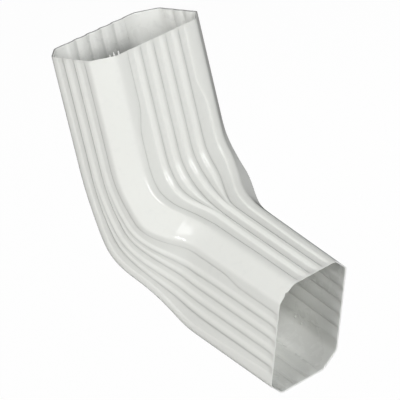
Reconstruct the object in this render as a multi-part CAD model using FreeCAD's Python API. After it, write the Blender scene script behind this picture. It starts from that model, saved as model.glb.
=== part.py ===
import FreeCAD, Part
import os
from math import cos, pi, radians, sin

# Turning downspout elbow: one fluted sheet tube. The upper mouth is wide along X, the lower one is
# wide in the plane of the bend, and the section changes over inside the bend. Millimetres, +Z up the
# upper leg, origin at the middle of the upper mouth, lower leg leaving towards -Y.

# Upper mouth, a socket over the pipe above: outside sizes and corner chamfer
SOCKET_WIDE = 80.0
SOCKET_NARROW = 54.0
SOCKET_CHAMFER = 10.5

# Lower mouth, a spigot into the pipe below: outside sizes and corner chamfer
SPIGOT_WIDE = 76.2
SPIGOT_NARROW = 50.8
SPIGOT_CHAMFER = 9.2

# How much the lower leg narrows across the bend, from the bend to its rim
SPIGOT_TAPER = 2.6

WALL = 0.8

# Centre line: the bend, and the stretches of the two straight legs counted from their rims
BEND_ANGLE = 66.0
BEND_RADIUS = 78.0
SOCKET_DEPTH = 31.0
SOCKET_FLARE = 18.0
UPPER_RUN = 12.0
UPPER_REACH = 6.0
SPIGOT_DEPTH = 29.0
SPIGOT_FLARE = 14.0
LOWER_RUN = 1.1
LOWER_REACH = 15.0
LIP = 4.0

# Flutes: a middle one, a pair at one pitch and a pair at two pitches on a wide face. The ridges
# between them stand proud of the face by a share of the flutes' depth
FLUTE_PITCH = 9.25
FLUTE_WIDTH = 4.8
FLUTE_DEPTH = 1.5
SOCKET_RIM_DEPTH = 0.3
RIDGE_SHARE = 0.4
FLANK_WIDTH = 1.6
EDGE_LAND = 5.0
FADED_WIDTH = 0.9
FADED_FLANK = 0.4

# How far the corner chamfers and the outer face swell in the middle of the bend
INSIDE_BAND_SWELL = 5.0
SIDE_BAND_SWELL = 1.8
OUTSIDE_BAND_SWELL = -3.0
OUTSIDE_SWELL = 2.3

# Stretches over which the section changes, as shares of the bend's length
SIDES_DRAW_IN = (0.40, 0.90)
INSIDE_GROWS = (-0.05, 0.97)
OUTSIDE_GROWS = (0.61, 0.95)
FLUTES_MERGE = (0.26, 0.78)
BANDS_SWELL = (0.20, 0.87)
BLEND_STATIONS = 18

# Four corners nearer to one plane than this make one flat face
FLATNESS = 1e-6

UPPER_LEG = SOCKET_DEPTH + SOCKET_FLARE + UPPER_RUN + UPPER_REACH
LOWER_LEG = SPIGOT_DEPTH + SPIGOT_FLARE + LOWER_RUN + LOWER_REACH
BEND_LENGTH = BEND_RADIUS * radians(BEND_ANGLE)
LENGTH = UPPER_LEG + BEND_LENGTH + LOWER_LEG
BLEND_START = UPPER_LEG - UPPER_REACH
BLEND_END = UPPER_LEG + BEND_LENGTH + LOWER_REACH
TAPER_START = UPPER_LEG + BEND_LENGTH * SIDES_DRAW_IN[1]


def mix(first, second, share):
    return first + (second - first) * share


def ramp(value, start, end):
    """Rises evenly from 0 at start to 1 at end."""
    return min(max((value - start) / (end - start), 0.0), 1.0)


def ease(value, start, end):
    """Rises smoothly from 0 at start to 1 at end."""
    share = ramp(value, start, end)
    return share * share * (3.0 - 2.0 * share)


def arch(value, start, end):
    """Rises smoothly from 0 at start to 1 half way, and falls back to 0 at end."""
    return sin(pi * ramp(value, start, end)) ** 2


def spine(along):
    """Point of the centre line, and the direction towards the inside of the bend."""
    turn = min(max(along - UPPER_LEG, 0.0), BEND_LENGTH) / BEND_RADIUS
    before = min(along, UPPER_LEG)
    after = max(along - UPPER_LEG - BEND_LENGTH, 0.0)
    y = -BEND_RADIUS * (1.0 - cos(turn)) - after * sin(turn)
    z = -before - BEND_RADIUS * sin(turn) - after * cos(turn)
    return FreeCAD.Vector(0, y, z), FreeCAD.Vector(0, -cos(turn), sin(turn))


def half_face(corner, reach, wideness, flare, depth):
    """Points from a face's middle to its corner: the distance along it, and how far each sinks.

    Wideness is 1 where the face carries all its flutes, and 0 where the pair at one pitch has faded
    out and the outermost pair has moved in to its place. Flare is 1 where the outermost flute
    reaches out to its land beside the corner.
    """
    ridge = -depth * RIDGE_SHARE
    floor = depth + ridge
    fading_floor = mix(ridge, floor, wideness)
    near = FLUTE_PITCH * (1.0 + wideness) - FLUTE_WIDTH / 2
    far = mix(near + FLUTE_WIDTH, reach, flare)
    fading = (FLUTE_WIDTH / 2 + near) / 2
    fading_half = mix(FADED_WIDTH, FLUTE_WIDTH, wideness) / 2
    fading_flank = mix(FADED_FLANK, FLANK_WIDTH, wideness)
    flanks = [
        (FLUTE_WIDTH / 2, FLANK_WIDTH, floor, ridge),
        (fading - fading_half, fading_flank, ridge, fading_floor),
        (fading + fading_half, fading_flank, fading_floor, ridge),
        (near, FLANK_WIDTH, ridge, floor),
        (far, FLANK_WIDTH * (1.0 - RIDGE_SHARE), floor, 0.0),
    ]
    points = []
    for middle, width, sink_before, sink_after in flanks:
        points.append((middle - width / 2, sink_before))
        points.append((middle + width / 2, sink_after))
    points.append((corner, 0.0))
    return points


def face(first_half, second_half):
    """Points across a whole face, from its first corner to its second."""
    return [(-along, sink) for along, sink in reversed(first_half)] + second_half


def section(along):
    """Outline of the section: real parts along X, imaginary parts towards the inside of the bend."""
    share = (along - UPPER_LEG) / BEND_LENGTH
    side = mix(SOCKET_WIDE, SPIGOT_NARROW + SPIGOT_TAPER, ease(share, *SIDES_DRAW_IN)) / 2
    side -= SPIGOT_TAPER / 2 * ramp(along, TAPER_START, LENGTH)
    inside = mix(SOCKET_NARROW, SPIGOT_WIDE, ease(share, *INSIDE_GROWS)) / 2
    outside = mix(SOCKET_NARROW, SPIGOT_WIDE, ease(share, *OUTSIDE_GROWS)) / 2
    outside += OUTSIDE_SWELL * arch(share, 0.0, 1.0)

    chamfer = mix(SOCKET_CHAMFER, SPIGOT_CHAMFER, ease(share, 0.0, 1.0))
    swell = arch(share, *BANDS_SWELL)
    inside_band = chamfer + INSIDE_BAND_SWELL * swell
    side_band = chamfer + SIDE_BAND_SWELL * swell
    outside_band = chamfer + OUTSIDE_BAND_SWELL * swell

    front_wideness = 1.0 - ease(share, *FLUTES_MERGE)
    side_wideness = ease(along, BLEND_START, BLEND_END)
    flare = ease(along, SOCKET_DEPTH, SOCKET_DEPTH + SOCKET_FLARE)
    flare -= ease(along, LENGTH - SPIGOT_DEPTH - SPIGOT_FLARE, LENGTH - SPIGOT_DEPTH)
    depth = mix(SOCKET_RIM_DEPTH, FLUTE_DEPTH, ease(along, 0.0, LIP))
    depth *= 1.0 - ease(along, LENGTH - LIP, LENGTH)

    front_reach = side - inside_band - EDGE_LAND
    front = half_face(side - inside_band, front_reach, front_wideness, flare, depth)
    back = half_face(side - outside_band, front_reach, front_wideness, flare, depth)
    inner = inside - side_band
    inner_side = half_face(inner, inner - EDGE_LAND, side_wideness, flare, depth)
    outer = outside - outside_band
    outer_side = half_face(outer, outer - EDGE_LAND, side_wideness, flare, depth)

    outline = [complex(x, inside - sink) for x, sink in face(front, front)]
    outline += [complex(side - sink, -n) for n, sink in face(inner_side, outer_side)]
    outline += [complex(-x, sink - outside) for x, sink in face(back, back)]
    outline += [complex(sink - side, n) for n, sink in face(outer_side, inner_side)]
    return outline


def inset(outline, distance):
    """The outline moved inwards by one distance, with mitred corners."""
    moved = []
    for index, point in enumerate(outline):
        before = point - outline[index - 1]
        after = outline[(index + 1) % len(outline)] - point
        first = -1j * before / abs(before)
        second = -1j * after / abs(after)
        mitre = (first + second) / (1.0 + (first * second.conjugate()).real)
        moved.append(point + mitre * distance)
    return moved


def corners(along, distance):
    """Corners of the section at one place of the centre line, inset by a distance."""
    centre, inwards = spine(along)
    across = FreeCAD.Vector(1, 0, 0)
    return [centre + across * p.real + inwards * p.imag for p in inset(section(along), distance)]


def ring(along, distance):
    """Closed wire through those corners."""
    points = corners(along, distance)
    return Part.makePolygon(points + points[:1])


def facets(first, second, third, fourth):
    """One flat face on four corners, or two where they don't lie in one plane."""
    normal = (second - first).cross(fourth - first).normalize()
    if abs(normal.dot(third - first)) < FLATNESS:
        outlines = [[first, second, third, fourth]]
    else:
        outlines = [[first, second, third], [first, third, fourth]]
    return [Part.Face(Part.makePolygon(points + points[:1])) for points in outlines]


def leg(stations, distance):
    """Faces of one side of the sheet on a straight leg, flat from station to station."""
    faces = []
    for start, end in zip(stations, stations[1:]):
        upper = corners(start, distance)
        lower = corners(end, distance)
        for index in range(len(upper)):
            faces += facets(upper[index - 1], upper[index], lower[index], lower[index - 1])
    return faces


def skin(distance):
    """Faces of one side of the sheet: two straight legs, and a loft through the bend."""
    last = BLEND_STATIONS - 1
    blend = [mix(BLEND_START, BLEND_END, index / last) for index in range(BLEND_STATIONS)]
    flare_end = SOCKET_DEPTH + SOCKET_FLARE
    upper = [0.0, LIP, SOCKET_DEPTH, flare_end - SOCKET_FLARE / 2, flare_end, BLEND_START]
    lower = [BLEND_END, LENGTH - SPIGOT_DEPTH - SPIGOT_FLARE, LENGTH - SPIGOT_DEPTH, LENGTH - LIP, LENGTH]
    loft = Part.makeLoft([ring(along, distance) for along in blend], False, True)
    return leg(upper, distance) + loft.Faces + leg(lower, distance)


def rim(along):
    """Cut edge of the sheet at a mouth."""
    return Part.makeFace([ring(along, 0.0), ring(along, WALL)], "Part::FaceMakerBullseye")


def make_elbow():
    shell = Part.makeShell(skin(0.0) + skin(WALL) + [rim(0.0), rim(LENGTH)])
    shell.sewShape()
    return Part.makeSolid(shell)


os.makedirs("parts", exist_ok=True)
make_elbow().exportStep("parts/elbow.step")
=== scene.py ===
"""White fluted downspout elbow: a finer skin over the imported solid, its paint, and the studio."""

from math import cos, pi, radians, sin

import bmesh
import bpy
from mathutils import Matrix, Vector


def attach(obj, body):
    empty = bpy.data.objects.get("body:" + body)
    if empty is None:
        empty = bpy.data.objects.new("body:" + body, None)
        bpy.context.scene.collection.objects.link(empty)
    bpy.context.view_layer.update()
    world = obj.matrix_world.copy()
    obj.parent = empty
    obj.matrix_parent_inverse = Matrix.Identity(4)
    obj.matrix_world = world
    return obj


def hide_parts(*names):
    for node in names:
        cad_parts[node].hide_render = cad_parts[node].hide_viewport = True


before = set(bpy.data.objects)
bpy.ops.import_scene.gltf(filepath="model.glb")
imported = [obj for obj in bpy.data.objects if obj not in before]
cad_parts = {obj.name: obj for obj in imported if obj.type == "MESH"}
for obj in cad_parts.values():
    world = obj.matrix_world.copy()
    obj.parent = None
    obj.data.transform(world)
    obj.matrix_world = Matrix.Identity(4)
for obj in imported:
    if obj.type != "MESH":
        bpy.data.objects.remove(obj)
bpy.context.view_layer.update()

# The elbow's sizes, in metres, as in the solid: mouths, sheet and centre line. The outer flare alone is
# the scene's own: where, up from the lower rim, the last flute on a side's outer half starts and ends
# closing in
SOCKET_WIDE = 0.0800
SOCKET_NARROW = 0.0540
SOCKET_CHAMFER = 0.0105
SPIGOT_WIDE = 0.0762
SPIGOT_NARROW = 0.0508
SPIGOT_CHAMFER = 0.0092
SPIGOT_TAPER = 0.0026
WALL = 0.0008
BEND_ANGLE = radians(66.0)
BEND_RADIUS = 0.0780
UPPER_LEG = 0.0670
LOWER_LEG = 0.0591
SOCKET_DEPTH = 0.0310
SOCKET_FLARE = 0.0180
UPPER_REACH = 0.0060
SPIGOT_DEPTH = 0.0290
SPIGOT_FLARE = 0.0140
LOWER_REACH = 0.0150
OUTER_FLARE = (0.0580, 0.0060)
LIP = 0.0040

# Flutes: middle one, a pair at one pitch, a pair at two pitches, with ridges standing proud between them.
# The back's are deeper at the upper rim, and the sides' are shallower outside the sheet than inside it
FLUTE_PITCH = 0.00925
FLUTE_WIDTH = 0.0048
FLUTE_DEPTH = 0.0015
SOCKET_RIM_DEPTH = 0.0003
BACK_RIM_DEPTH = 0.0009
OUTER_SHARE = 0.70
INNER_SHARE = 1.15
RIDGE_SHARE = 0.4
FLANK_WIDTH = 0.0016
INNER_FLANK_WIDTH = 0.0026
EDGE_LAND = 0.0050
FADED_WIDTH = 0.0009
FADED_FLANK = 0.0004

# How far the corner bands and the outer face swell in the middle of the bend
INSIDE_BAND_SWELL = 0.0050
SIDE_BAND_SWELL = 0.0018
OUTSIDE_BAND_SWELL = -0.0030
OUTSIDE_SWELL = 0.0023

# Stretches over which the section and its corners change, as shares of the bend's length
SIDES_DRAW_IN = (0.40, 0.90)
INSIDE_GROWS = (-0.05, 0.97)
OUTSIDE_GROWS = (0.61, 0.95)
FLUTES_MERGE = (0.26, 0.78)
BANDS_SWELL = (0.20, 0.87)
CORNERS_TIGHTEN = (-0.10, 0.25)
CORNERS_LOOSEN = (0.75, 1.10)

BEND_LENGTH = BEND_RADIUS * BEND_ANGLE
LENGTH = UPPER_LEG + BEND_LENGTH + LOWER_LEG
BLEND_START = UPPER_LEG - UPPER_REACH
BLEND_END = UPPER_LEG + BEND_LENGTH + LOWER_REACH
TAPER_START = UPPER_LEG + BEND_LENGTH * SIDES_DRAW_IN[1]

# Mesh of the sheet: rings along the tube and close to each rim, how far the corners' rounding reaches
# (on the sides, on the face inside the bend and on the outside of the bend), and a flank's line from a
# flute's floor to the round shoulder of a ridge: places in flank widths from its middle, and the rise
# to each
RING_COUNT = 56
RIM_RINGS = (0.00025, 0.0012)
CORNER_SOFTNESS = 0.0016
FRONT_SOFTNESS = 0.0034
OUTER_SOFTNESS = 0.0026
RISING_FLANK = ((-0.70, 0.0), (-0.32, 0.05), (0.11, 0.49), (0.85, 1.0))
FALLING_FLANK = tuple((-place, 1.0 - rise) for place, rise in reversed(RISING_FLANK))

# Cut edges: how far the sheet's inner edge stands back from the outer one, the nick in the lower rim with
# its point's place in a ring, counted from the end, and the burrs that shearing left on the upper rim at
# its left front corner, with X and Y of their feet
EDGE_TILT = 0.0004
NICK_DEPTH = 0.0020
NICK_WIDTH = 0.0018
NICK_POINT = -3
BURR_FEET = ((-0.0313, -0.0246), (-0.0297, -0.0263), (-0.0268, -0.0266))
BURR_HEIGHTS = (0.0012, 0.0022, 0.0020)
BURR_RADIUS = 0.0006
BURR_TIP_RADIUS = 0.0002
BURR_SIDES = 5

# Drops of paint that ran onto the right wall inside the lower mouth, a little way up from its rim
DROP_PLACES = ((0.0250, -0.0593, -0.1726), (0.0249, -0.0632, -0.1762))
DROP_RADIUS = 0.0006
DROP_SUBDIVISIONS = 2

# Order of the coats on the sheet
OUTER_COAT, INNER_COAT, LOWER_EDGE, UPPER_EDGE = range(4)

# Coats: refractive index of the film, its dimples, and the cloudiness and scuffs that make up a mark, with
# the noise levels at which a scuff starts and is full
FILM_INDEX = 1.5
DIMPLE_DEPTH = 0.0002
DIMPLE_DETAIL = 1.5
CLOUD_SCALE = 28.0
CLOUD_DETAIL = 3.0
CLOUD_SHARE = 0.55
SCUFF_SCALE = 190.0
SCUFF_DETAIL = 5.0
SCUFF_DISTORTION = 0.8
SCUFF_LEVELS = (0.52, 0.78)

# Painted light and shade on the coat inside the tube: the direction and the stretch along it in which each
# colour takes over.
# It is painted lighter in the lower leg's right corner, painted darker towards the lower rim and deep below
# the upper mouth, and painted white again in the upper mouth's back corner and towards the upper rim
PAINTED_SHADING_STEPS = (
    ((1.0, 0.407, -0.914), 0.1565, 0.1610, (0.95, 0.955, 0.92)),
    ((0.0, -0.914, -0.407), 0.122, 0.159, (0.64, 0.647, 0.62)),
    ((0.0, 0.0, 1.0), -0.120, -0.060, (0.44, 0.445, 0.428)),
    ((1.0, 1.0, 0.0), 0.044, 0.056, (0.90, 0.905, 0.875)),
    ((0.0, 0.0, 1.0), -0.021, -0.006, (0.96, 0.965, 0.93)),
)

# Studio: the room's light, the floor, and the cards that edges reflect, with their level in the middle and
# further out and the radii between which it changes. The shade card's place is seen from the camera
ROOM_LIGHT = 0.055
FLOOR_COLOUR = (0.92, 0.92, 0.92)
FLOOR_ROUGHNESS = 0.9
FLOOR_WHITENESS = 0.98
FLOOR_HEIGHT = -0.60
FLOOR_SIZE = 8.0
CARD_LEVELS = (0.02, 0.42)
CARD_RADII = (0.10, 0.42)
CARD_DISTANCE = 0.75
CARD_SIZE = 2.4
SHADE_CARD_PLACE = (-0.34, -0.18, -0.40)
SHADE_CARD_SIZE = 0.76

# Camera, as the photograph was taken: a long lens from the front left and above, rolled
LOOK_AT = Vector((-0.00473, -0.03793, -0.09268))
CAMERA_AZIMUTH = radians(37.265)
CAMERA_ELEVATION = radians(18.701)
CAMERA_DISTANCE = 1.7610
CAMERA_ROLL = radians(13.33)
CAMERA_LENS = 289.1
CAMERA_SENSOR = 36.0
CAMERA_REACH = 20.0


def mix(first, second, share):
    return first + (second - first) * share


def ramp(value, start, end):
    """Rises evenly from 0 at start to 1 at end."""
    return min(max((value - start) / (end - start), 0.0), 1.0)


def ease(value, start, end):
    """Rises smoothly from 0 at start to 1 at end."""
    share = ramp(value, start, end)
    return share * share * (3.0 - 2.0 * share)


def arch(value, start, end):
    """Rises smoothly from 0 at start to 1 half way, and falls back to 0 at end."""
    return sin(pi * ramp(value, start, end)) ** 2


def spine(along):
    """Point of the centre line, and the direction towards the inside of the bend."""
    turn = min(max(along - UPPER_LEG, 0.0), BEND_LENGTH) / BEND_RADIUS
    before = min(along, UPPER_LEG)
    after = max(along - UPPER_LEG - BEND_LENGTH, 0.0)
    y = -BEND_RADIUS * (1.0 - cos(turn)) - after * sin(turn)
    z = -before - BEND_RADIUS * sin(turn) - after * cos(turn)
    return Vector((0, y, z)), Vector((0, -cos(turn), sin(turn)))


def half_face(edge, reach, wideness, flare, depth, wide_flank):
    """Points from a face's middle to its corner: the distance along it, and how far each sinks.

    Wideness is 1 where the face carries all its flutes, and 0 where the pair at one pitch has faded out
    and the outermost pair has moved in to its place. Flare is 1 where the outermost flute reaches out
    to its land beside the corner.
    """
    corner, softness = edge
    ridge = -depth * RIDGE_SHARE
    floor = depth + ridge
    fading_floor = mix(ridge, floor, wideness)
    near = FLUTE_PITCH * (1.0 + wideness) - FLUTE_WIDTH / 2
    far = mix(near + FLUTE_WIDTH, reach, flare)
    fading = (FLUTE_WIDTH / 2 + near) / 2
    fading_half = mix(FADED_WIDTH, FLUTE_WIDTH, wideness) / 2
    flank = mix(FLANK_WIDTH, wide_flank, wideness)
    fading_flank = mix(FADED_FLANK, flank, wideness)
    flanks = [
        (FLUTE_WIDTH / 2, flank, floor, ridge),
        (fading - fading_half, fading_flank, ridge, fading_floor),
        (fading + fading_half, fading_flank, fading_floor, ridge),
        (near, flank, ridge, floor),
        (far, flank * (1.0 - RIDGE_SHARE), floor, 0.0),
    ]
    points = []
    for middle, width, sink_before, sink_after in flanks:
        line = RISING_FLANK if sink_before > sink_after else FALLING_FLANK
        points += [(middle + place * width, mix(sink_before, sink_after, rise)) for place, rise in line]
    return points + [(corner - softness, 0.0), (corner, 0.0)]


def face(first_half, second_half):
    """Points across a whole face, from its first corner to its second."""
    return [(-along, sink) for along, sink in reversed(first_half)] + second_half


def section(along, side_share, wide_flank):
    """Outline of the section: real parts along X, imaginary parts towards the inside of the bend."""
    share = (along - UPPER_LEG) / BEND_LENGTH
    side = mix(SOCKET_WIDE, SPIGOT_NARROW + SPIGOT_TAPER, ease(share, *SIDES_DRAW_IN)) / 2
    side -= SPIGOT_TAPER / 2 * ramp(along, TAPER_START, LENGTH)
    inside = mix(SOCKET_NARROW, SPIGOT_WIDE, ease(share, *INSIDE_GROWS)) / 2
    outside = mix(SOCKET_NARROW, SPIGOT_WIDE, ease(share, *OUTSIDE_GROWS)) / 2
    outside += OUTSIDE_SWELL * arch(share, 0.0, 1.0)

    chamfer = mix(SOCKET_CHAMFER, SPIGOT_CHAMFER, ease(share, 0.0, 1.0))
    swell = arch(share, *BANDS_SWELL)
    inside_band = chamfer + INSIDE_BAND_SWELL * swell
    side_band = chamfer + SIDE_BAND_SWELL * swell
    outside_band = chamfer + OUTSIDE_BAND_SWELL * swell

    front_wideness = 1.0 - ease(share, *FLUTES_MERGE)
    side_wideness = ease(along, BLEND_START, BLEND_END)
    flared = ease(along, SOCKET_DEPTH, SOCKET_DEPTH + SOCKET_FLARE)
    flare = flared - ease(along, LENGTH - SPIGOT_DEPTH - SPIGOT_FLARE, LENGTH - SPIGOT_DEPTH)
    outer_flare = flared - ramp(along, LENGTH - OUTER_FLARE[0], LENGTH - OUTER_FLARE[1])
    fade = 1.0 - ease(along, LENGTH - LIP, LENGTH)
    depth = mix(SOCKET_RIM_DEPTH, FLUTE_DEPTH, ease(along, 0.0, LIP)) * fade
    back_depth = mix(BACK_RIM_DEPTH, FLUTE_DEPTH, ease(along, 0.0, LIP)) * fade

    tightness = ease(share, *CORNERS_TIGHTEN) - ease(share, *CORNERS_LOOSEN)
    front_softness = mix(FRONT_SOFTNESS, CORNER_SOFTNESS, tightness)
    front_edge = (side - inside_band, front_softness)
    back_edge = (side - outside_band, OUTER_SOFTNESS)
    inner_edge = (inside - side_band, CORNER_SOFTNESS)
    outer_edge = (outside - outside_band, OUTER_SOFTNESS)
    front_reach = front_edge[0] - EDGE_LAND
    inner_reach = inner_edge[0] - EDGE_LAND
    outer_reach = outer_edge[0] - EDGE_LAND
    side_depth = depth * side_share
    front = half_face(front_edge, front_reach, front_wideness, flare, depth, wide_flank)
    back = half_face(back_edge, front_reach, front_wideness, flare, back_depth, wide_flank)
    inner_side = half_face(inner_edge, inner_reach, side_wideness, flare, side_depth, wide_flank)
    outer_side = half_face(outer_edge, outer_reach, side_wideness, outer_flare, side_depth, wide_flank)

    faces = [
        [complex(x, inside - sink) for x, sink in face(front, front)],
        [complex(side - sink, -n) for n, sink in face(inner_side, outer_side)],
        [complex(-x, sink - outside) for x, sink in face(back, back)],
        [complex(sink - side, n) for n, sink in face(outer_side, inner_side)],
    ]
    softness = [
        (front_softness, CORNER_SOFTNESS),
        (OUTER_SOFTNESS, OUTER_SOFTNESS),
        (OUTER_SOFTNESS, OUTER_SOFTNESS),
        (CORNER_SOFTNESS, front_softness),
    ]
    outline = []
    for points, after, (soft, soft_after) in zip(faces, faces[1:] + faces[:1], softness):
        band = after[0] - points[-1]
        step = band / abs(band)
        middle = points[-1] + band / 2
        outline += points + [points[-1] + step * soft]
        outline += [middle - step * NICK_WIDTH / 2, middle, middle + step * NICK_WIDTH / 2]
        outline += [after[0] - step * soft_after]
    return outline


def inset(outline, distance):
    """The outline moved inwards by one distance, with mitred corners."""
    moved = []
    for index, point in enumerate(outline):
        before = point - outline[index - 1]
        after = outline[(index + 1) % len(outline)] - point
        first = -1j * before / abs(before)
        second = -1j * after / abs(after)
        mitre = (first + second) / (1.0 + (first * second.conjugate()).real)
        moved.append(point + mitre * distance)
    return moved


def ring_places(along, distance):
    """Places of one ring of the sheet, on its outer skin or set in from it."""
    centre, inwards = spine(along)
    depth = distance / WALL
    side_share = mix(OUTER_SHARE, INNER_SHARE, depth)
    outline = inset(section(along, side_share, mix(FLANK_WIDTH, INNER_FLANK_WIDTH, depth)), distance)
    places = [centre + Vector((p.real, 0, 0)) + inwards * p.imag for p in outline]
    nick = NICK_DEPTH * ramp(along, LENGTH - LIP, LENGTH)
    places[NICK_POINT] += spine(along - nick)[0] - centre
    return places


def extrude_ring(mesh, ring, places, coat):
    """Extrudes a ring of vertices to its next places, and gives the new strip its coat."""
    edges = [mesh.edges.get(pair) or mesh.edges.new(pair) for pair in zip(ring, ring[1:] + ring[:1])]
    made = bmesh.ops.extrude_edge_only(mesh, edges=edges)["geom"]
    fresh = {item for item in made if isinstance(item, bmesh.types.BMVert)}
    for item in made:
        if isinstance(item, bmesh.types.BMFace):
            item.material_index = coat
    following = [next(e.other_vert(v) for e in v.link_edges if e.other_vert(v) in fresh) for v in ring]
    for vert, place in zip(following, places):
        vert.co = place
    return following


def make_sheet():
    """The sheet in one piece: down the outside ring by ring, over the lower rim, and back up the inside."""
    stations = [LENGTH * index / RING_COUNT for index in range(RING_COUNT + 1)]
    stations += [edge for step in RIM_RINGS for edge in (step, LENGTH - step)]
    stations.sort()
    inner_rims = (EDGE_TILT, LENGTH - EDGE_TILT)
    inner_stations = [along for along in stations if inner_rims[0] < along < inner_rims[1]]
    mesh = bmesh.new()
    upper_edge = [mesh.verts.new(place) for place in ring_places(0.0, 0.0)]
    ring = upper_edge
    for along in stations[1:]:
        ring = extrude_ring(mesh, ring, ring_places(along, 0.0), OUTER_COAT)
    ring = extrude_ring(mesh, ring, ring_places(inner_rims[1], WALL), LOWER_EDGE)
    for along in [*reversed(inner_stations), inner_rims[0]]:
        ring = extrude_ring(mesh, ring, ring_places(along, WALL), INNER_COAT)
    ring = extrude_ring(mesh, ring, ring_places(0.0, 0.0), UPPER_EDGE)
    bmesh.ops.weld_verts(mesh, targetmap=dict(zip(ring, upper_edge)))
    bmesh.ops.recalc_face_normals(mesh, faces=mesh.faces)
    return mesh


def make_burrs():
    """Slivers of metal that stand on the upper rim near its left front corner."""
    mesh = bmesh.new()
    for foot, height in zip(BURR_FEET, BURR_HEIGHTS):
        place = Vector((*foot, height / 2))
        bmesh.ops.create_cone(
            mesh, cap_ends=True, segments=BURR_SIDES, radius1=BURR_RADIUS, radius2=BURR_TIP_RADIUS,
            depth=height, matrix=Matrix.Translation(place),
        )
    return mesh


def make_drops():
    """Round drops of paint that stand half out of the wall."""
    mesh = bmesh.new()
    for place in DROP_PLACES:
        bmesh.ops.create_icosphere(
            mesh, subdivisions=DROP_SUBDIVISIONS, radius=DROP_RADIUS, matrix=Matrix.Translation(place)
        )
    return mesh


def finish_piece(mesh, name, materials):
    data = bpy.data.meshes.new(name)
    for polygon in mesh.faces:
        polygon.smooth = True
    mesh.to_mesh(data)
    mesh.free()
    for material in materials:
        data.materials.append(material)
    piece = bpy.data.objects.new(name, data)
    bpy.context.scene.collection.objects.link(piece)
    return piece


def coat_texture():
    """Group that every coat on the sheet uses: faint cloudiness, handling marks and a fine dimpled film."""
    group = bpy.data.node_groups.new("coat_texture", "ShaderNodeTree")
    for name in ("Colour", "Mark Colour"):
        group.interface.new_socket(name, in_out="INPUT", socket_type="NodeSocketColor")
    for name in ("Mark Strength", "Smooth Roughness", "Dull Roughness", "Dimple Scale"):
        group.interface.new_socket(name, in_out="INPUT", socket_type="NodeSocketFloat")
    group.interface.new_socket("Colour", in_out="OUTPUT", socket_type="NodeSocketColor")
    for name in ("Roughness", "Height"):
        group.interface.new_socket(name, in_out="OUTPUT", socket_type="NodeSocketFloat")

    nodes = group.nodes
    links = group.links
    given = nodes.new("NodeGroupInput")
    result = nodes.new("NodeGroupOutput")
    place = nodes.new("ShaderNodeTexCoord")

    clouds = nodes.new("ShaderNodeTexNoise")
    clouds.inputs["Scale"].default_value = CLOUD_SCALE
    clouds.inputs["Detail"].default_value = CLOUD_DETAIL
    links.new(place.outputs["Object"], clouds.inputs["Vector"])

    scuffs = nodes.new("ShaderNodeTexNoise")
    scuffs.inputs["Scale"].default_value = SCUFF_SCALE
    scuffs.inputs["Detail"].default_value = SCUFF_DETAIL
    scuffs.inputs["Distortion"].default_value = SCUFF_DISTORTION
    links.new(place.outputs["Object"], scuffs.inputs["Vector"])
    scuff_edge = nodes.new("ShaderNodeMapRange")
    scuff_edge.interpolation_type = "SMOOTHSTEP"
    scuff_edge.inputs["From Min"].default_value = SCUFF_LEVELS[0]
    scuff_edge.inputs["From Max"].default_value = SCUFF_LEVELS[1]
    links.new(scuffs.outputs["Fac"], scuff_edge.inputs["Value"])

    marked = nodes.new("ShaderNodeMath")
    marked.operation = "MULTIPLY_ADD"
    marked.inputs[1].default_value = CLOUD_SHARE
    links.new(clouds.outputs["Fac"], marked.inputs[0])
    links.new(scuff_edge.outputs["Result"], marked.inputs[2])
    amount = nodes.new("ShaderNodeMath")
    amount.operation = "MULTIPLY"
    amount.use_clamp = True
    links.new(marked.outputs[0], amount.inputs[0])
    links.new(given.outputs["Mark Strength"], amount.inputs[1])
    colour = nodes.new("ShaderNodeMix")
    colour.data_type = "RGBA"
    links.new(amount.outputs[0], colour.inputs["Factor"])
    links.new(given.outputs["Colour"], colour.inputs["A"])
    links.new(given.outputs["Mark Colour"], colour.inputs["B"])
    links.new(colour.outputs["Result"], result.inputs["Colour"])

    dullness = nodes.new("ShaderNodeMix")
    links.new(marked.outputs[0], dullness.inputs["Factor"])
    links.new(given.outputs["Smooth Roughness"], dullness.inputs["A"])
    links.new(given.outputs["Dull Roughness"], dullness.inputs["B"])
    links.new(dullness.outputs["Result"], result.inputs["Roughness"])

    dimples = nodes.new("ShaderNodeTexNoise")
    dimples.inputs["Detail"].default_value = DIMPLE_DETAIL
    links.new(place.outputs["Object"], dimples.inputs["Vector"])
    links.new(given.outputs["Dimple Scale"], dimples.inputs["Scale"])
    links.new(dimples.outputs["Fac"], result.inputs["Height"])
    return group


def coat(name, texture, colour, mark_colour, mark_strength, roughness, dimple_scale, dimple_strength):
    """Coat on the sheet: the shared texture with this coat's own values."""
    material = bpy.data.materials.new(name)
    material.use_nodes = True
    nodes = material.node_tree.nodes
    links = material.node_tree.links
    shader = nodes["Principled BSDF"]
    shader.inputs["IOR"].default_value = FILM_INDEX
    film = nodes.new("ShaderNodeGroup")
    film.name = "film"
    film.node_tree = texture
    film.inputs["Colour"].default_value = (*colour, 1.0)
    film.inputs["Mark Colour"].default_value = (*mark_colour, 1.0)
    film.inputs["Mark Strength"].default_value = mark_strength
    film.inputs["Smooth Roughness"].default_value = roughness[0]
    film.inputs["Dull Roughness"].default_value = roughness[1]
    film.inputs["Dimple Scale"].default_value = dimple_scale
    links.new(film.outputs["Colour"], shader.inputs["Base Color"])
    links.new(film.outputs["Roughness"], shader.inputs["Roughness"])
    bump = nodes.new("ShaderNodeBump")
    bump.inputs["Strength"].default_value = dimple_strength
    bump.inputs["Distance"].default_value = DIMPLE_DEPTH
    links.new(film.outputs["Height"], bump.inputs["Height"])
    links.new(bump.outputs["Normal"], shader.inputs["Normal"])
    return material


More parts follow.
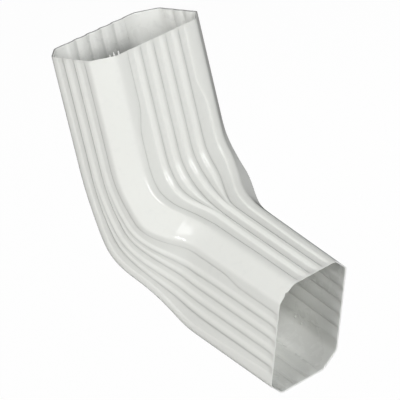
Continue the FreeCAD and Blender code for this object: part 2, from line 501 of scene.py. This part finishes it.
def add_painted_shading(material, steps):
    """Painted light and shade: colours that take over from one another along a direction, each laid over
    those before it.
    """
    nodes = material.node_tree.nodes
    links = material.node_tree.links
    place = nodes.new("ShaderNodeTexCoord")
    film = nodes["film"]
    plain = nodes.new("ShaderNodeRGB")
    plain.outputs[0].default_value = film.inputs["Colour"].default_value
    below = plain.outputs[0]
    for direction, start, end, colour in steps:
        along = nodes.new("ShaderNodeVectorMath")
        along.operation = "DOT_PRODUCT"
        along.inputs[1].default_value = direction
        links.new(place.outputs["Object"], along.inputs[0])
        shading_reach = nodes.new("ShaderNodeMapRange")
        shading_reach.interpolation_type = "SMOOTHSTEP"
        shading_reach.inputs["From Min"].default_value = start
        shading_reach.inputs["From Max"].default_value = end
        links.new(along.outputs["Value"], shading_reach.inputs["Value"])
        painted_step = nodes.new("ShaderNodeMix")
        painted_step.data_type = "RGBA"
        painted_step.inputs["B"].default_value = (*colour, 1.0)
        links.new(shading_reach.outputs["Result"], painted_step.inputs["Factor"])
        links.new(below, painted_step.inputs["A"])
        below = painted_step.outputs["Result"]
    links.new(below, film.inputs["Colour"])


def add_camera():
    level = cos(CAMERA_ELEVATION)
    forward = Vector((level * sin(CAMERA_AZIMUTH), level * cos(CAMERA_AZIMUTH), -sin(CAMERA_ELEVATION)))
    turn = forward.to_track_quat("-Z", "Y").to_matrix().to_4x4() @ Matrix.Rotation(-CAMERA_ROLL, 4, "Z")
    data = bpy.data.cameras.new("camera")
    data.lens = CAMERA_LENS
    data.sensor_width = CAMERA_SENSOR
    data.clip_end = CAMERA_REACH
    camera = bpy.data.objects.new("camera", data)
    camera.matrix_world = Matrix.Translation(LOOK_AT - forward * CAMERA_DISTANCE) @ turn
    bpy.context.scene.collection.objects.link(camera)
    bpy.context.scene.camera = camera


def add_softbox(name, towards, distance, size, power, colour=(1, 1, 1), roll=0.0, reflected=True):
    """Area lamp that shines on the elbow from one direction, and may show in its paint."""
    data = bpy.data.lights.new(name, "AREA")
    data.shape = "RECTANGLE"
    data.size, data.size_y = size
    data.energy = power
    data.color = colour
    lamp = bpy.data.objects.new(name, data)
    towards = Vector(towards).normalized()
    turn = (-towards).to_track_quat("-Z", "Y").to_matrix().to_4x4() @ Matrix.Rotation(roll, 4, "Z")
    lamp.matrix_world = Matrix.Translation(LOOK_AT + towards * distance) @ turn
    lamp.visible_camera = False
    lamp.visible_glossy = reflected
    bpy.context.scene.collection.objects.link(lamp)


def add_board(name, place, turn, size, material):
    """Square flat board of the studio."""
    mesh = bmesh.new()
    bmesh.ops.create_grid(mesh, x_segments=1, y_segments=1, size=size / 2)
    bmesh.ops.transform(mesh, matrix=Matrix.Translation(place) @ turn, verts=mesh.verts)
    board = finish_piece(mesh, name, (material,))
    return board


def add_math(nodes, links, operation, first, second):
    """Math node on two sockets, or on a socket and a number."""
    node = nodes.new("ShaderNodeMath")
    node.operation = operation
    links.new(first, node.inputs[0])
    if isinstance(second, float):
        node.inputs[1].default_value = second
    else:
        links.new(second, node.inputs[1])
    return node.outputs[0]


def seen_directly(nodes, links):
    """1 for what the camera, a reflection or a clear piece sees, and 0 for what only gives light."""
    path = nodes.new("ShaderNodeLightPath")
    seen = add_math(nodes, links, "MAXIMUM", path.outputs["Is Camera Ray"], path.outputs["Is Glossy Ray"])
    return add_math(nodes, links, "MAXIMUM", seen, path.outputs["Is Transmission Ray"])


def floor_paper():
    """Pale paper that the camera and reflections see as white, with a little of its own shading left."""
    material = bpy.data.materials.new("floor_paper")
    material.use_nodes = True
    nodes = material.node_tree.nodes
    links = material.node_tree.links
    paper = nodes["Principled BSDF"]
    paper.inputs["Base Color"].default_value = (*FLOOR_COLOUR, 1.0)
    paper.inputs["Roughness"].default_value = FLOOR_ROUGHNESS
    white = nodes.new("ShaderNodeEmission")
    share = add_math(nodes, links, "MULTIPLY", seen_directly(nodes, links), FLOOR_WHITENESS)
    choose = nodes.new("ShaderNodeMixShader")
    links.new(share, choose.inputs["Fac"])
    links.new(paper.outputs[0], choose.inputs[1])
    links.new(white.outputs[0], choose.inputs[2])
    links.new(choose.outputs[0], nodes["Material Output"].inputs["Surface"])
    return material


def grey_card(name, middle, radii):
    """Grey for what the elbow's edges reflect, dark in the middle and lighter further out."""
    material = bpy.data.materials.new(name)
    material.use_nodes = True
    nodes = material.node_tree.nodes
    links = material.node_tree.links
    place = nodes.new("ShaderNodeTexCoord")
    away = nodes.new("ShaderNodeVectorMath")
    away.operation = "DISTANCE"
    away.inputs[1].default_value = middle
    links.new(place.outputs["Object"], away.inputs[0])
    level = nodes.new("ShaderNodeMapRange")
    level.interpolation_type = "SMOOTHSTEP"
    level.inputs["From Min"].default_value = radii[0]
    level.inputs["From Max"].default_value = radii[1]
    level.inputs["To Min"].default_value = CARD_LEVELS[0]
    level.inputs["To Max"].default_value = CARD_LEVELS[1]
    links.new(away.outputs["Value"], level.inputs["Value"])
    glow = nodes.new("ShaderNodeEmission")
    links.new(level.outputs["Result"], glow.inputs["Color"])
    links.new(glow.outputs[0], nodes["Material Output"].inputs["Surface"])
    return material


def add_surround():
    """Floor well below the elbow, and grey cards behind and beside it that only reflections see."""
    add_board("floor", Vector((0, 0, FLOOR_HEIGHT)), Matrix.Identity(4), FLOOR_SIZE, floor_paper())
    view = bpy.context.scene.camera.matrix_world
    turn = view.to_3x3()
    cards = [
        ("back_card", Vector((0, 0, -CARD_DISTANCE)), CARD_SIZE, CARD_RADII),
        ("shade_card", Vector(SHADE_CARD_PLACE), SHADE_CARD_SIZE, (SHADE_CARD_SIZE, CARD_SIZE)),
    ]
    for name, place, size, radii in cards:
        behind = LOOK_AT + turn @ place
        card = add_board(name, behind, turn.to_4x4(), size, grey_card(name, behind, radii))
        card.visible_camera = False
        card.visible_diffuse = False
        card.visible_shadow = False


def add_world():
    """Soft light from all round, and white where the camera, a reflection or a clear piece sees it."""
    world = bpy.data.worlds.new("studio")
    world.use_nodes = True
    bpy.context.scene.world = world
    nodes = world.node_tree.nodes
    links = world.node_tree.links
    seen = nodes["Background"]
    seen.inputs["Color"].default_value = (1, 1, 1, 1)
    seen.inputs["Strength"].default_value = 1.0
    soft = nodes.new("ShaderNodeBackground")
    soft.inputs["Color"].default_value = (1, 1, 1, 1)
    soft.inputs["Strength"].default_value = ROOM_LIGHT
    choose = nodes.new("ShaderNodeMixShader")
    links.new(seen_directly(nodes, links), choose.inputs["Fac"])
    links.new(soft.outputs[0], choose.inputs[1])
    links.new(seen.outputs[0], choose.inputs[2])
    links.new(choose.outputs[0], nodes["World Output"].inputs["Surface"])


texture = coat_texture()
white_paint = coat(
    "white_paint", texture, colour=(0.83, 0.836, 0.795), mark_colour=(0.76, 0.766, 0.735),
    mark_strength=0.30, roughness=(0.04, 0.08), dimple_scale=620.0, dimple_strength=0.03,
)
# Inside coat: its own white, with painted light and shade laid over it along the tube
inner_coat_and_painted_shading = coat(
    "inner_coat_and_painted_shading", texture, colour=(0.86, 0.868, 0.83), mark_colour=(0.63, 0.64, 0.62),
    mark_strength=0.25, roughness=(0.24, 0.38), dimple_scale=420.0, dimple_strength=0.12,
)
add_painted_shading(inner_coat_and_painted_shading, PAINTED_SHADING_STEPS)
crimped_edge = coat(
    "crimped_edge", texture, colour=(0.88, 0.88, 0.86), mark_colour=(0.70, 0.71, 0.70),
    mark_strength=0.30, roughness=(0.25, 0.45), dimple_scale=1500.0, dimple_strength=0.20,
)
# Upper rim's cut edge: bare metal, with its dark grey partly painted shade
bare_edge_and_painted_shade = coat(
    "bare_edge_and_painted_shade", texture, colour=(0.36, 0.36, 0.35), mark_colour=(0.22, 0.22, 0.22),
    mark_strength=0.60, roughness=(0.35, 0.50), dimple_scale=1500.0, dimple_strength=0.20,
)

elbow = finish_piece(make_sheet(), "fluted_elbow", (white_paint, inner_coat_and_painted_shading, crimped_edge, bare_edge_and_painted_shade))
smoothing = elbow.modifiers.new("soft_flutes", "SUBSURF")
smoothing.levels = 1
smoothing.render_levels = 1
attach(elbow, "root")
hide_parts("elbow")

burrs = finish_piece(make_burrs(), "rim_burrs", (crimped_edge,))
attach(burrs, "root")

drops = finish_piece(make_drops(), "paint_drops", (white_paint,))
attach(drops, "root")

add_camera()
add_world()
add_surround()
add_softbox("key_window", (-0.372, -0.865, 0.337), distance=1.5, size=(0.30, 0.68), power=9.3)
add_softbox(
    "left_window_upper", (-0.705, -0.328, 0.629), distance=1.5, size=(0.38, 0.09), power=0.36,
    roll=radians(-23.6),
)
add_softbox("left_window_lower", (-0.804, -0.333, 0.492), distance=1.5, size=(0.30, 0.20), power=3.0)
add_softbox("left_fill", (-0.880, 0.160, 0.447), distance=2.0, size=(1.4, 0.6), power=11.7, reflected=False)
add_softbox("back_fill", (0.750, 0.600, 0.280), distance=2.0, size=(1.2, 0.8), power=11.0, reflected=False)
add_softbox(
    "front_fill", (0.078, -0.888, 0.454), distance=2.0, size=(0.6, 0.6), power=8.5,
    colour=(0.96, 0.98, 1.0), reflected=False,
)
bpy.context.scene.view_settings.view_transform = "Standard"
